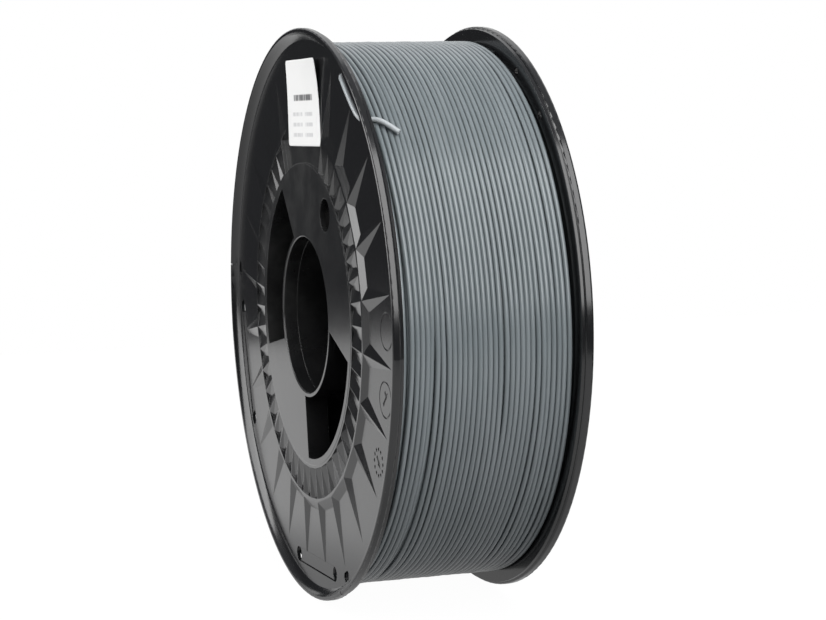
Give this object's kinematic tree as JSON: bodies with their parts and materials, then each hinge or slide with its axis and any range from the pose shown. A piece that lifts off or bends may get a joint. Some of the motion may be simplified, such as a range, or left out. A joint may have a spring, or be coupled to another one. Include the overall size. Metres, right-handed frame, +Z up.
{
  "type": "filament spool",
  "caption": "Full filament spool: two moulded flanges with pleated ring and rays on a drum with a bore, wound with round filament whose end is threaded through a flange.",
  "frame": {"origin": "middle of the bore, on its axis, halfway between the two rims", "axes": "+Y along the bore, away from the flange with the label; +Z up as the spool stands on its rims"},
  "size_m": [0.2, 0.0678, 0.2],
  "materials": {
    "spool_plastic": "satin",
    "filament": "satin",
    "label_paper": "matte paper"
  },
  "bodies": {
    "root": {"near_flange": "spool_plastic", "far_flange": "spool_plastic", "winding_drum": "spool_plastic", "bore_tube": "spool_plastic", "filament_core": "filament", "filament_outer_layer": "filament", "filament_tail": "filament", "label": "label_paper"}
  },
  "joints": []
}
